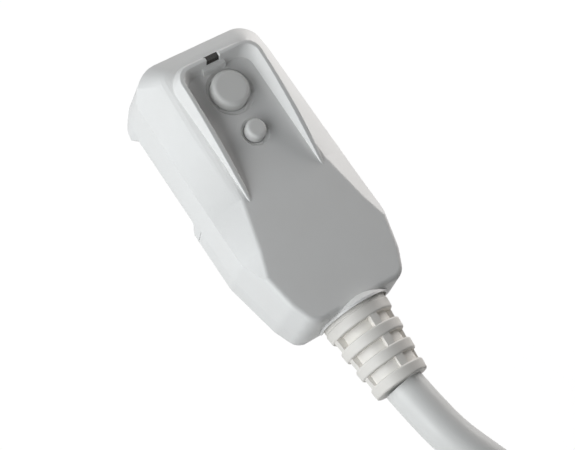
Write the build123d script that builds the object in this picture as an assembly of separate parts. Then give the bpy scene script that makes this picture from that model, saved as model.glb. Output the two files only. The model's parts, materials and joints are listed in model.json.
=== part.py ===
from build123d import *

import os
from math import atan, cos, degrees, pi, radians, sin, sqrt, tan

# Right-angle ground-fault plug with its power cord, coiled for storage.
# Units are millimetres. Every piece is modelled in the head's own frame:
# X across the head, Y from the cord end (0) to the blade end, Z out of the
# front, with Z = 0 on the face that meets the wall plate. The export moves all
# of them together, so that the ground pin's tip stands on Z = 0.

# Shell outline at the parting line
half_width = 21.95
blade_half = 21.6
head_length = 82.5
taper_start_y = 23.5
waist_half = 18.3
waist_y = 7.2
end_half = 15.0
crown_radius = 9.5
shoulder_radius = 6.0
waist_radius = 8.0
end_radius = 4.8

# Shell section
wall = 2.2
parting_z = 7.5
front_draft = 0.03
back_draft = 0.11
face_z = 18.7
face_slope = 0.1
brow_y = 77.0
brow_fall = 1.0
face_soften = 1.6
back_edge_radius = 1.2
seam_y = 39.2
seam_gap = 0.15

# Side facets, as (y, half width of the flat face, fall per millimetre outward)
facet_stations = ((12.0, 20.6, 0.62), (23.5, 16.9, 0.87), (38.0, 13.4, 0.70),
                  (60.0, 13.9, 1.03), (90.0, 13.9, 1.40))

# Rounded roof of the blade half, whose edges bend down wider and wider
roof_start = (38.0, 13.4, 0.70, 1.7)
roof_middle = (58.0, 13.88, 1.0, 6.0)
roof_end = (13.9, 1.25, 6.5)
roof_brow_bend = 5.0
roof_corner = 3.0
roof_corner_growth = 0.8
roof_drops = (0, 0.1, 0.4, 0.9, 1.6, 2.6, 20.0)

# Guard ridge round the buttons, measured along the sloping face
ridge_end_y = 36.5
ridge_end_outer = 12.3
ridge_end_inner = 11.35
ridge_outer_flare = 0.04
ridge_inner_flare = 0.038
ridge_outer_top = 76.6
ridge_inner_top = 72.6
ridge_outer_radius = 6.2
ridge_inner_radius = 3.6
ridge_height = 3.7
ridge_mid_height = 2.85
ridge_mid_y = 51.0
crest_outer_half = 12.85
crest_inner_half = 11.5
crest_outer_top = 75.2
crest_inner_top = 74.2
crest_outer_radius = 4.2
crest_soften = 0.3

# Lamp window in the ridge
window_x = -0.8
slot_half = 2.1
slot_front_y = 71.0
slot_back_y = 76.0
slot_sill = 1.9
ledge_half = 3.45
ledge_front_y = 71.6
ledge_lip_y = 72.4
ledge_toe = 0.3
ledge_height = 1.7
lens_y0 = 74.1
lens_y1 = 75.7
lens_clear = 0.08
lens_recess = 0.3
lens_height = 3.0
lamp_y = 74.0
lamp_radius = 1.5
lamp_clear = 0.6

# Press buttons
button_clear = 0.15
reset_y = 65.0
reset_radius = 5.35
reset_rise = 2.4
reset_travel = 2.0
reset_soften = 1.5
reset_moat = 6.75
test_y = 52.3
test_radius = 2.86
test_rise = 2.2
test_travel = 1.5
test_soften = 1.1
test_moat = 4.05
moat_depth = 0.9
moat_slope = 0.8
stem_radius = 1.5
test_stem_radius = 1.2
flange_extra = 1.05
flange_thick = 1.0
flange_z = 21.0
test_flange_z = 19.7
test_stem_end_z = 18.4
stem_end_z = 8.9
cap_wall = 1.1

# Blades and ground pin
blade_thick = 1.52
blade_width = 6.35
blade_length = 17.7
blade_spacing = 12.7
blade_y = 70.0
pin_drop = 11.9
pin_radius = 2.38
pin_length = 20.6
pin_tip_round = 2.2
prong_clear = 0.05
shoulder_width = 9.0
shoulder_thick = 2.6
shoulder_height = 1.6
tail_width = 3.0
tail_top_z = 7.6
pin_flange_radius = 3.5
pin_flange_thick = 1.2
pin_tail_radius = 1.3
pin_tail_reach = 0.7
pin_neck_radius = 2.2
pin_neck_drop = 0.3
strap_reach = 10.4
strap_half = 1.1
strap_lift = 0.1

# Circuit board
board_z = 5.0
board_thick = 1.6
board_half = 14.2
board_y0 = 14.0
board_y1 = 79.0
board_corner = 1.5
notch_clear = 0.3
hole_clear = 0.2
post_radius = 2.0
posts_x = 10.5
posts_y = (18.0, 35.0, 46.0, 76.8)

# Latch, carriage and contacts
latch_plate_z = 15.6
latch_plate_thick = 0.8
latch_half = 4.5
latch_y1 = 71.0
latch_slot_half = 1.9
trip_travel = 2.0
carriage_half = 6.5
carriage_y0 = 60.8
carriage_y1 = 70.0
carriage_z0 = 10.2
carriage_z1 = 14.6
carriage_bore = 1.85
wing_half = 13.8
wing_y0 = 66.0
wing_y1 = 69.0
wing_thick = 1.2
leg_inner = 7.3
leg_thick = 1.0
leg_y0 = 61.2
leg_y1 = 65.0
bridge_y1 = 69.0
bridge_z = 16.8
bridge_thick = 0.8
bridge_bore = 2.0
arm_x = 12.5
arm_width = 3.2
arm_thick = 0.4
arm_y0 = 46.0
arm_gap = 0.1
silver_y = 67.5
silver_radius = 1.4
silver_height = 0.8
silver_gap = 0.05
fixed_plate_thick = 0.6
fixed_leg_y = 72.5

# Trip solenoid
solenoid_z = 12.0
bobbin_y0 = 41.0
bobbin_y1 = 53.0
bobbin_radius = 2.9
bobbin_bore = 2.1
bobbin_flange = 4.5
bobbin_flange_thick = 0.9
winding_gap = 0.05
frame_thick = 0.8
frame_half = 4.6
plunger_clear = 0.07
plunger_y0 = 43.0
plunger_head_y = 58.0
plunger_head_radius = 3.2
plunger_head_thick = 1.2

# Sensing coils and small components
sense_y = 27.0
sense_outer = 7.5
sense_inner = 3.6
sense_height = 3.8
spacer_height = 0.5
lead_radius = 1.45
chip_y0 = 35.4
chip_y1 = 39.2
chip_leg = 0.7
lead_half = 1.6

# Springs, as outer radius, wire radius and number of curls
reset_spring = (3.8, 0.3, 6)
plunger_spring = (2.9, 0.22, 4)

# Screws
screw_radius = 1.25
screw_head_radius = 2.6
screw_head_height = 1.6
screw_length = 13.0
screw_recess = 3.2
boss_radius = 3.0
boss_step = 0.6
screw_places = ((13.2, 10.5), (16.9, 31.0), (16.6, 75.3))

# Finger scoops in the sides of the back
scoop_y0 = 41.0
scoop_y1 = 76.0
scoop_half = 16.6
scoop_corner_y = 70.9
scoop_splay = 0.7
scoop_lean = 0.6
scoop_height = 6.0
scoop_slope = 1.9

# Cord, strain relief and collar
cord_radius = 5.6
cord_z = 10.5
boot_length = 23.0
boot_first_radius = 9.7
boot_last_radius = 7.75
ring_count = 4
ring_start = 1.5
ring_width = 3.2
ring_soften = 0.55
core_first_radius = 7.2
core_last_radius = 6.7
web_width = 2.2
web_drop = 0.3
boot_bore_clear = 0.03
neck_radius = 7.0
neck_clear = 0.1
neck_y1 = 3.0
neck_flange_radius = 8.4
neck_flange_thick = 1.6
neck_flange_clear = 0.1
collar_gap = 0.3
collar_thick = 0.5
collar_reach = 0.7
collar_flat_y = -0.1
collar_blend_y = 1.8
collar_blend_radius = 8.2
jacket_end_y = 9.5

# Cord clamp
clamp_y0 = 5.2
clamp_y1 = 8.8
clamp_half = 10.0
clamp_screw_x = 8.4
clamp_ear = 2.4
clamp_arch = 7.3
clamp_clear = 0.05

# Free cord, as points of its route in the finished part's frame
cord_diameter = 2 * cord_radius
tie_thick = 0.8
tie_width = 12.0
tie_clear = 0.4
tie_corner = 4.0
floor_lift = 0.1
coil_z1 = cord_radius + tie_thick + floor_lift
layer_rise = 11.8
turn_pitch = 11.8
coil_inner_radius = 45.2
coil_turns = 4.5
end_drop = 1.0
coil_x = -54.8
coil_y = -182.25
run_share = 0.45

# Connector on the far end
plug_radius = coil_z1 + layer_rise - end_drop - floor_lift
plug_length = 46.0
plug_soften = 2.0
plug_shoulder = 13.0
plug_boot_length = 24.0
plug_boot_first = 8.6
plug_boot_last = 6.8
plug_core_first = 7.2
plug_core_last = 6.3
plug_ring_count = 3
plug_ring_start = 6.8
plug_ring_width = 3.2
plug_face_depth = 3.2
plug_face_recess = 0.8
plug_rim = 2.6
plug_hollow = 20.0
plug_hollow_step = 1.6
grip_count = 10
grip_radius = 3.2
grip_depth = 0.9
grip_start = 17.0
grip_length = 20.0
slot_wide = 2.3
slot_tall = 7.4
slot_y = 3.6
ground_hole_radius = 2.75
ground_hole_y = slot_y - pin_drop
contact_depth = 14.0
contact_thick = 0.6
contact_drop = 0.4

mid_y = (head_length - boot_length) / 2
place = Pos(0, -mid_y, pin_length)


# Small helpers

def face_height(y):
    """Height of the flat front face at a place along the head."""
    return face_z + face_slope * y


def on_face(shape):
    """Put a shape drawn on a level plane onto the sloping front face."""
    return Pos(0, 0, face_z) * Rot(X=degrees(atan(face_slope))) * shape


def block(x0, x1, y0, y1, z0, z1):
    """A box between two corners."""
    return Pos((x0 + x1) / 2, (y0 + y1) / 2, (z0 + z1) / 2) * Box(x1 - x0, y1 - y0, z1 - z0)


def post(x, y, z0, z1, radius, tip=None):
    """An upright cylinder, or a cone where the tip has its own radius."""
    centre = Pos(x, y, (z0 + z1) / 2)
    if tip is None:
        return centre * Cylinder(radius, z1 - z0)
    return centre * Cone(radius, tip, z1 - z0)


def along_cord(y0, y1, radius, tip=None):
    """A cylinder or cone on the cord's axis at the head, from y0 to y1."""
    turn = Pos(0, (y0 + y1) / 2, cord_z) * Rot(X=-90)
    if tip is None:
        return turn * Cylinder(radius, y1 - y0)
    return turn * Cone(radius, tip, y1 - y0)


def both_sides(shape):
    """A shape together with its mirror image across the head."""
    return shape + mirror(shape, about=Plane.YZ)


def ring_solid(outer, inner, height):
    """A flat ring standing on Z = 0."""
    return Pos(0, 0, height / 2) * (Cylinder(outer, height) - Cylinder(inner, height))


# Curved paths

def biarc(start, start_way, end, end_way):
    """Two arcs that join two points along the given directions."""
    span = end - start
    a = 2 * (start_way.dot(end_way) - 1)
    b = -2 * span.dot(start_way + end_way)
    c = span.dot(span)
    reach = -c / b if abs(a) < 1e-9 else (-b - (b * b - 4 * a * c) ** 0.5) / (2 * a)
    leave = start + start_way * reach
    arrive = end - end_way * reach
    joint = (leave + arrive) * 0.5
    joint_way = (arrive - leave).normalized()
    return [TangentArc(start, joint, tangent=start_way), TangentArc(joint, end, tangent=joint_way)]


def wound_path(point, way, first, last, step, lead):
    """A path through points of a winding formula, straight for `lead` at each end."""
    count = round((last - first) / step)
    stops = [first + step * i for i in range(count + 1)]
    edges = []
    for a, b in zip(stops, stops[1:]):
        edges += biarc(point(a), way(a), point(b), way(b))
    if lead:
        edges.insert(0, Line(point(first) - way(first) * lead, point(first)))
        edges.append(Line(point(last), point(last) + way(last) * lead))
    return Wire(edges)


def tube(path, radius):
    """A round tube along a path."""
    section = Plane(path @ 0, z_dir=path % 0) * Circle(radius)
    return sweep(section, path=path)


def least_gap(path, radius, samples):
    """The least distance between two turns of a wound tube, surface to surface."""
    length = path.length
    points = [path.position_at(i / samples) for i in range(samples + 1)]
    apart = int(3 * 2 * radius / (length / samples)) + 1
    least = min((p - q).length for i, p in enumerate(points) for q in points[i + apart:])
    return least - 2 * radius


def helix_spring(x, y, z0, z1, outer, wire, curls):
    """A compression spring that stands on z0, with its ends closed flat."""
    radius = outer - wire
    rise = z1 - z0 - 2 * wire - 0.02

    def point(turn):
        height = z0 + wire + 0.01 + rise * turn / curls
        return Vector(x + radius * cos(2 * pi * turn), y + radius * sin(2 * pi * turn), height)

    def way(turn):
        slope = rise / curls / (2 * pi * radius)
        return Vector(-sin(2 * pi * turn), cos(2 * pi * turn), slope).normalized()

    path = wound_path(point, way, 0, curls, 0.25, 0)
    return tube(path, wire)


# Outer form of the shells

def outline(inset):
    """Plan outline at the parting line, drawn in by `inset`."""
    right = [(blade_half, head_length), (half_width, taper_start_y),
             (waist_half, waist_y), (end_half, 0)]
    left = [(-x, y) for x, y in reversed(right)]
    plan = make_face(Polyline(*right, *left, close=True))
    corners = ((head_length, crown_radius), (taper_start_y, shoulder_radius),
               (waist_y, waist_radius), (0, end_radius))
    for y, radius in corners:
        plan = fillet([v for v in plan.vertices() if abs(v.Y - y) < 1e-3], radius)
    return offset(plan, amount=-inset) if inset else plan


def facet_wedge(inset):
    """The space above the right-hand side facet."""
    reach = 16.0
    above = 12.0
    sections = []
    for y, x, fall in facet_stations:
        z = face_height(y)
        corners = [(x, y, z), (x + reach, y, z - reach * fall), (x + reach, y, z + above), (x, y, z + above)]
        sections.append(make_face(Polyline(*corners, close=True)))
    return Pos(-0.6 * inset, 0, -0.8 * inset) * loft(sections, ruled=True)


def front_form(inset):
    """Outer form of the front cover, or of its cavity when inset by the wall."""
    rise = face_height(brow_y) - parting_z + 4
    body = loft([outline(inset), Pos(0, 0, rise) * outline(inset + rise * front_draft)], ruled=True)
    body = Pos(0, 0, parting_z) * body
    face = Plane(origin=(0, 0, face_z - inset), x_dir=(1, 0, 0), z_dir=(0, -face_slope, 1))
    body = split(body, bisect_by=face, keep=Keep.BOTTOM)
    return body - both_sides(facet_wedge(inset))


def bend_reach(start, fall, bend, drop):
    """How far out a surface that bends down at `start` has got at a drop."""
    slope = atan(fall)
    low = bend * (1 - cos(slope))
    flat_end = start - bend * tan(slope / 2)
    if drop <= low:
        return flat_end + sqrt(bend ** 2 - (bend - drop) ** 2)
    return flat_end + bend * sin(slope) + (drop - low) / fall


def roof(inset):
    """The rounded roof of the blade half, in sections parallel to the face."""
    sections = []
    for drop in roof_drops:
        corners = [(bend_reach(x, fall, bend, drop), y) for y, x, fall, bend in (roof_start, roof_middle)]
        end_x = bend_reach(*roof_end, drop)
        end_y = bend_reach(brow_y, brow_fall + face_slope, roof_brow_bend, drop)
        corners.append((end_x, end_y))
        plan = make_face(Polyline(*corners, *[(-x, y) for x, y in reversed(corners)], close=True))
        growth = min(end_x - roof_end[0], end_y - brow_y)
        ends = [v for v in plan.vertices() if abs(v.Y - end_y) < 1e-3]
        plan = fillet(ends, roof_corner + roof_corner_growth * max(growth, -2))
        if inset:
            plan = offset(plan, amount=-0.6 * inset)
        sections.append(Pos(0, 0, -drop) * plan)
    return on_face(Pos(0, 0, -0.8 * inset) * loft(sections, ruled=True))


def under_roof(body, inset):
    """Cut a body's blade half down to the rounded roof."""
    start = roof_start[0] + 0.6 * inset
    deep = roof_drops[-1] - 0.1
    return body - (on_face(block(-40, 40, start, 110, -deep, 20)) - roof(inset))


def soft_front_form():
    """The front cover's outer form with its moulded edges rounded."""
    body = front_form(0)
    rim = [e for e in body.edges() if e.center().Z > face_z - 1 and abs(e.center().X) < 19.6
           and e.center().Y < brow_y - 15 and abs(e.center().Z - face_height(e.center().Y)) < 0.5]
    return under_roof(fillet(rim, face_soften), 0)


def back_form(inset):
    """Outer form of the back, or of its cavity when inset by the wall."""
    draw_in = back_draft * parting_z
    lower = outline(draw_in + inset)
    body = loft([lower, Pos(0, 0, parting_z) * outline(inset)], ruled=True)
    if inset:
        return body & block(-50, 50, -5, 100, inset, parting_z)
    edge = [e for e in body.edges() if e.center().Z < 0.01]
    return fillet(edge, back_edge_radius)


# Shells

def guard_ridge():
    """The inverted U round the buttons, standing on the level plane."""
    root = 2.6
    head_room = 1.0

    def band(level, foot_half, flare, foot_top, foot_radius, crest_half, crest_top, crest_radius, low):
        part_up = level / ridge_height
        top = foot_top + (crest_top - foot_top) * part_up
        radius = foot_radius + (crest_radius - foot_radius) * part_up
        corners = []
        for y in (top, low):
            half = foot_half + flare * (y - ridge_end_y)
            corners.append((half + (crest_half - half) * part_up, y))
        plan = make_face(Polyline(*corners, *[(-x, y) for x, y in reversed(corners)], close=True))
        plan = fillet([v for v in plan.vertices() if abs(v.Y - top) < 1e-3], radius)
        return Pos(0, 0, level) * plan

    outer = [band(level, ridge_end_outer, ridge_outer_flare, ridge_outer_top, ridge_outer_radius,
                  crest_outer_half, crest_outer_top, crest_outer_radius, 26)
             for level in (-root, ridge_height + head_room)]
    inner = [band(level, ridge_end_inner, -ridge_inner_flare, ridge_inner_top, ridge_inner_radius,
                  crest_inner_half, crest_inner_top, ridge_inner_radius, 20)
             for level in (-root, ridge_height + head_room)]
    ridge = loft(outer, ruled=True) - loft(inner, ruled=True)
    low = ridge_end_y - 0.3
    high = ridge_outer_top + 1
    crest = ThreePointArc((0, low, 0), (0, ridge_mid_y, ridge_mid_height), (0, high, ridge_height))
    under = Polyline((0, high, ridge_height), (0, high, -root), (0, low, -root), (0, low, 0))
    ridge &= extrude(make_face([crest, under]), amount=20, dir=(1, 0, 0), both=True)
    crests = [e for e in ridge.edges() if e.center().Z > 1.2 and e.length > 2
              and min(v.Z for v in e.vertices()) > -0.1]
    return fillet(crests, crest_soften)


def moat(y, radius):
    """The shallow dish that a button stands in."""
    dish = Cone(radius - moat_depth * moat_slope, radius + moat_slope, moat_depth + 1)
    return on_face(Pos(0, y, (1 - moat_depth) / 2) * dish)


def bosses():
    """The front cover's screw bosses, from the parting line to the roof."""
    posts = Compound(children=[both_sides(post(x, y, parting_z, 30, boss_radius)) for x, y in screw_places])
    return posts & under_roof(front_form(wall / 2), wall / 2)


def window_ledge():
    """The sill in front of the lamp window, sloped along its front."""
    back = ledge_lip_y + 1.5
    profile = Polyline((0, ledge_front_y, -1), (0, ledge_front_y, ledge_toe), (0, ledge_lip_y, ledge_height),
                       (0, back, ledge_height), (0, back, -1), close=True)
    ledge = extrude(make_face(profile), amount=ledge_half, dir=(1, 0, 0), both=True)
    return on_face(Pos(window_x, 0, 0) * ledge)


def front_cover():
    """Front shell with ridge, dishes, button bores, collar and screw bosses."""
    shell = soft_front_form()
    collar_radius = boot_first_radius + collar_gap + collar_thick
    collar = along_cord(-collar_reach, collar_flat_y, collar_radius)
    collar += along_cord(collar_flat_y, collar_blend_y, collar_radius, collar_blend_radius)
    shell += collar & block(-30, 30, -5, 30, parting_z, 40)
    shell += on_face(guard_ridge())
    shell += window_ledge()
    shell -= under_roof(front_form(wall), wall)
    shell += bosses()
    for x, y in screw_places:
        shell -= both_sides(post(x, y, parting_z - 1, parting_z + screw_length - 3, screw_radius - 0.15))
    left = window_x - slot_half
    right = window_x + slot_half
    shell -= on_face(block(left, right, slot_front_y, slot_back_y, slot_sill, 6))
    shell -= on_face(block(left, right, lens_y0, lens_y1, -8, slot_sill + 1))
    for y, radius, dish in ((reset_y, reset_radius, reset_moat), (test_y, test_radius, test_moat)):
        shell -= moat(y, dish)
        shell -= post(0, y, face_z - 2, 35, radius + button_clear)
    shell -= along_cord(-3, 0.3, boot_first_radius + collar_gap)
    shell -= along_cord(-3, wall + 1, neck_radius + neck_clear)
    return shell


def back_shell():
    """Both back shells in one, before the seam parts them."""
    shell = back_form(0) - back_form(wall)
    for x, y in screw_places:
        shell += both_sides(post(x, y, wall - 0.5, parting_z, boss_radius + boss_step))
    for y in posts_y:
        shell += both_sides(post(posts_x, y, wall - 0.5, board_z, post_radius))
    return shell


def screw_holes(shell):
    """Cut the housing screws' holes and recesses into a back shell."""
    for x, y in screw_places:
        shell -= both_sides(post(x, y, -1, screw_recess, screw_head_radius + 0.2))
        shell -= both_sides(post(x, y, -1, parting_z + 1, screw_radius + 0.15))
    return shell


def back_cover():
    """Cord-end half of the back, with the cord's saddle."""
    shell = screw_holes(back_shell() & block(-40, 40, -5, seam_y, -1, 30))
    saddle = block(-clamp_half, clamp_half, clamp_y0, clamp_y1, wall - 0.5, cord_z)
    shell += saddle & block(-40, 40, 0, 20, 0, cord_z - clamp_clear)
    shell -= along_cord(-3, 0.3, boot_first_radius + collar_gap)
    shell -= along_cord(-3, wall + 1, neck_radius + neck_clear)
    shell -= along_cord(0, 30, cord_radius + clamp_clear)
    shell -= both_sides(post(clamp_screw_x, (clamp_y0 + clamp_y1) / 2, wall + 0.5, 20, screw_radius - 0.1))
    return shell


def blade_base():
    """Blade-end half of the back: feet at the corners, scoops, blade slots."""
    shell = back_shell() & block(-40, 40, seam_y + seam_gap, 100, -1, 30)
    shelf = block(scoop_half - wall, 40, seam_y + seam_gap, scoop_y1, 0.5, scoop_height + wall)
    shell += both_sides(shelf & back_form(0.5))
    profile = Polyline((0, scoop_y0, -1), (0, scoop_y0 + scoop_slope, scoop_height),
                       (0, scoop_y1, scoop_height), (0, scoop_y1, -1), close=True)
    scoop = Pos(scoop_half, 0, 0) * extrude(make_face(profile), amount=6, dir=(1, 0, 0))
    end = Plane(origin=(scoop_half, scoop_corner_y, 0), z_dir=(-scoop_splay, 1, scoop_lean))
    scoop = split(scoop, bisect_by=end, keep=Keep.BOTTOM)
    shell = screw_holes(shell - both_sides(scoop))
    pocket = 0.4
    for side in (-1, 1):
        x = side * blade_spacing / 2
        slot_x = blade_thick / 2 + prong_clear
        slot_y = blade_width / 2 + prong_clear
        shell -= block(x - slot_x, x + slot_x, blade_y - slot_y, blade_y + slot_y, -1, wall + 1)
        shell -= block(x - shoulder_thick / 2 - prong_clear, x + shoulder_thick / 2 + prong_clear,
                       blade_y - shoulder_width / 2 - prong_clear, blade_y + shoulder_width / 2 + prong_clear,
                       wall - pocket, wall + 1)
    shell -= post(0, blade_y - pin_drop, -1, wall + 1, pin_radius + prong_clear)
    shell -= post(0, blade_y - pin_drop, wall - pocket, wall + 1, pin_flange_radius + prong_clear)
    return shell


# Blades

def blade(side):
    """A flat blade with a chamfered tip, a shoulder and a solder tail."""
    x = side * blade_spacing / 2
    seat = wall - 0.4
    body = block(x - blade_thick / 2, x + blade_thick / 2, blade_y - blade_width / 2,
                 blade_y + blade_width / 2, -blade_length, seat)
    tip = [e for e in body.edges() if e.center().Z < -blade_length + 0.01]
    body = chamfer(tip, 0.45)
    body -= Pos(x, blade_y, -blade_length + 4.2) * Rot(Y=90) * Cylinder(1.6, 4)
    body += block(x - shoulder_thick / 2, x + shoulder_thick / 2, blade_y - shoulder_width / 2,
                  blade_y + shoulder_width / 2, seat, seat + shoulder_height)
    tail = block(x - blade_thick / 2, x + blade_thick / 2, blade_y - tail_width / 2,
                 blade_y + tail_width / 2, seat + shoulder_height, tail_top_z)
    return body + tail


def ground_pin():
    """The round ground pin, its neck, its flange, its solder tail and its strap."""
    y = blade_y - pin_drop
    seat = wall - 0.4
    body = post(0, y, -pin_length, -pin_neck_drop, pin_radius)
    tip = [e for e in body.edges() if e.center().Z < -pin_length + 0.01]
    body = fillet(tip, pin_tip_round)
    body += post(0, y, -pin_neck_drop, seat, pin_neck_radius)
    top = board_z + board_thick + pin_tail_reach
    body += post(0, y, seat, seat + pin_flange_thick, pin_flange_radius)
    body += post(0, y, seat + pin_flange_thick, top, pin_tail_radius)
    return body + block(-strap_reach, pin_tail_radius, y - strap_half, y + strap_half,
                        board_z + board_thick + strap_lift, top)


# Board and what stands on it

board_top = board_z + board_thick


def circuit_board():
    """The board, with holes for the tails of the blades and the ground pin."""
    plan = Pos(0, (board_y0 + board_y1) / 2) * RectangleRounded(2 * board_half, board_y1 - board_y0, board_corner)
    board = Pos(0, 0, board_z) * extrude(plan, amount=board_thick)
    for side in (-1, 1):
        x = side * blade_spacing / 2
        board -= block(x - blade_thick / 2 - hole_clear, x + blade_thick / 2 + hole_clear,
                       blade_y - tail_width / 2 - hole_clear, blade_y + tail_width / 2 + hole_clear,
                       board_z - 1, board_top + 1)
    board -= post(0, blade_y - pin_drop, board_z - 1, board_top + 1, pin_tail_radius + hole_clear)
    for x, y in screw_places:
        board -= both_sides(post(x, y, board_z - 1, board_top + 1, boss_radius + boss_step + notch_clear))
    return board


def solenoid_bobbin():
    """The spool that the trip coil is wound on."""
    turn = Pos(0, (bobbin_y0 + bobbin_y1) / 2, solenoid_z) * Rot(X=-90)
    length = bobbin_y1 - bobbin_y0
    spool = Cylinder(bobbin_radius, length)
    for side in (-1, 1):
        spool += Pos(0, 0, side * (length - bobbin_flange_thick) / 2) * Cylinder(bobbin_flange, bobbin_flange_thick)
    return turn * (spool - Cylinder(bobbin_bore, length + 1))


def solenoid_winding():
    """The trip coil's copper, between the spool's flanges."""
    length = bobbin_y1 - bobbin_y0 - 2 * bobbin_flange_thick - 2 * winding_gap
    coil = Cylinder(bobbin_flange - 0.4, length) - Cylinder(bobbin_radius + winding_gap, length + 1)
    return Pos(0, (bobbin_y0 + bobbin_y1) / 2, solenoid_z) * Rot(X=-90) * coil


def solenoid_frame():
    """The steel bracket round the trip coil."""
    top = solenoid_z + bobbin_flange
    frame = block(-frame_half, frame_half, bobbin_y0 - frame_thick, bobbin_y1 + frame_thick,
                  board_top, board_top + frame_thick)
    for y in (bobbin_y0 - frame_thick, bobbin_y1):
        frame += block(-frame_half, frame_half, y, y + frame_thick, board_top, top)
    bore = Pos(0, bobbin_y1, solenoid_z) * Rot(X=-90) * Cylinder(bobbin_bore, 4)
    return frame - bore


def plunger():
    """The steel core that the trip coil pulls in."""
    body = along_solenoid(plunger_y0, plunger_head_y, bobbin_bore - plunger_clear)
    return body + along_solenoid(plunger_head_y, plunger_head_y + plunger_head_thick, plunger_head_radius)


def along_solenoid(y0, y1, radius):
    """A cylinder on the solenoid's axis."""
    return Pos(0, (y0 + y1) / 2, solenoid_z) * Rot(X=-90) * Cylinder(radius, y1 - y0)


def plunger_return_spring():
    """The spring that pushes the core back out."""
    outer, wire, curls = plunger_spring
    length = plunger_head_y - bobbin_y1 - frame_thick
    spring = helix_spring(0, 0, 0, length, outer, wire, curls)
    return Pos(0, bobbin_y1 + frame_thick, solenoid_z) * Rot(X=-90) * spring


def latch_plate():
    """The sliding plate that holds the reset stem, with its tab to the core."""
    y0 = plunger_head_y + plunger_head_thick
    plate = block(-latch_half, latch_half, y0, latch_y1, latch_plate_z, latch_plate_z + latch_plate_thick)
    slot = SlotCenterToCenter(trip_travel, 2 * latch_slot_half, rotation=90)
    slot = Pos(0, reset_y + trip_travel / 2, latch_plate_z - 1) * extrude(slot, amount=4)
    tab = block(-latch_half + 1, latch_half - 1, y0, y0 + latch_plate_thick, solenoid_z - 2.5, latch_plate_z + 0.1)
    return plate - slot + tab


def latch_frame():
    """The moulded frame that guides the carriage and seats the reset spring."""
    top = bridge_z + bridge_thick
    legs = both_sides(block(leg_inner, leg_inner + leg_thick, leg_y0, leg_y1, board_top, top))
    bridge = block(-leg_inner - leg_thick, leg_inner + leg_thick, leg_y0, bridge_y1, bridge_z, top)
    return legs + bridge - post(0, reset_y, bridge_z - 1, top + 1, bridge_bore)


def contact_carriage():
    """The moulded carriage that lifts the contact arms on its wings."""
    body = block(-carriage_half, carriage_half, carriage_y0, carriage_y1, carriage_z0, carriage_z1)
    wings = block(-wing_half, wing_half, wing_y0, wing_y1, carriage_z0, carriage_z0 + wing_thick)
    return body + wings - post(0, reset_y, carriage_z0 - 1, carriage_z1 + 1, carriage_bore)


def contact_arms():
    """The two spring arms with their silver tips."""
    z = carriage_z0 + wing_thick + arm_gap
    arms = block(arm_x - arm_width / 2, arm_x + arm_width / 2, arm_y0, silver_y + 2, z, z + arm_thick)
    arms += block(arm_x - arm_width / 2, arm_x + arm_width / 2, arm_y0, arm_y0 + arm_thick, board_top, z)
    arms += post(arm_x, silver_y, z + arm_thick, z + arm_thick + silver_height, silver_radius)
    return both_sides(arms)


def fixed_contacts():
    """The two fixed silver contacts on their brackets."""
    low = carriage_z0 + wing_thick + arm_gap + arm_thick + silver_height + silver_gap
    plate = low + silver_height
    x0, x1 = arm_x - arm_width / 2, arm_x + arm_width / 2
    bracket = post(arm_x, silver_y, low, plate, silver_radius)
    bracket += block(x0, x1, silver_y - 2, fixed_leg_y + fixed_plate_thick, plate, plate + fixed_plate_thick)
    bracket += block(x0 + 1, x1 - 1.6, fixed_leg_y, fixed_leg_y + fixed_plate_thick, board_top, plate)
    return both_sides(bracket)


def test_leaf():
    """The leaf that the TEST stem bends onto its contact post."""
    height = test_stem_end_z - 0.5
    x = -6.2
    leaf = block(x - 0.6, 1.6, test_y - 1.2, test_y + 1.2, height, height + arm_thick)
    return leaf + block(x - 0.6, x - 0.2, test_y - 1.2, test_y + 1.2, board_top, height)


def sense_coil():
    """The ground-fault sensing coil on the board."""
    return Pos(0, sense_y, board_top) * ring_solid(sense_outer, sense_inner, sense_height)


def coil_spacer():
    """The insulating washer between the two coils."""
    return Pos(0, sense_y, board_top + sense_height) * ring_solid(sense_outer, sense_inner, spacer_height)


def neutral_coil():
    """The grounded-neutral coil on top of the sensing coil."""
    base = board_top + sense_height + spacer_height
    return Pos(0, sense_y, base) * ring_solid(sense_outer, sense_inner, sense_height)


def film_capacitor():
    """The suppression capacitor's box."""
    box = block(8.2, 12.8, 29.5, 42.0, board_top, board_top + 8.2)
    return fillet(box.edges().filter_by(Axis.Z), 0.6)


def varistor():
    """The surge disc, standing on edge on its two leads."""
    disc = Pos(10.7, 22.5, board_top + 5.1) * Rot(Y=90) * Cylinder(4.5, 3.2)
    legs = [post(10.7, 22.5 + s * 2.5, board_top, board_top + 2.6, 0.35) for s in (-1, 1)]
    return disc + legs[0] + legs[1]


def electrolytic_capacitor():
    """The small can capacitor, lying beside the solenoid."""
    can = Pos(7.8, 50.5, board_top + 2.7) * Rot(X=90) * Cylinder(2.7, 10)
    return fillet(can.edges(), 0.4)


def resistors():
    """The axial resistors at the cord end of the board."""
    bodies = []
    for y in (15.6, 17.9):
        bodies.append(Pos(4.8, y, board_top + 0.9) * Rot(Y=90) * Cylinder(0.9, 5))
    return Compound(children=bodies)


def control_chip():
    """The ground-fault controller with its legs."""
    chip = block(-2.5, 2.5, chip_y0, chip_y1, board_top + 0.2, board_top + 1.7)
    for i in range(4):
        x = -1.9 + 1.27 * i
        chip += block(x - 0.2, x + 0.2, chip_y0 - chip_leg, chip_y1 + chip_leg, board_top, board_top + 0.6)
    return chip


def trigger_thyristor():
    """The small thyristor that fires the trip coil."""
    body = Pos(11.0, 57.5, board_top + 1.0) * extrude(RectangleRounded(4.4, 3.4, 0.8), amount=3.4)
    legs = [post(11.0 + s * 1.27, 57.5, board_top, board_top + 1.0, 0.3) for s in (-1, 0, 1)]
    return body + legs[0] + legs[1] + legs[2]


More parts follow.
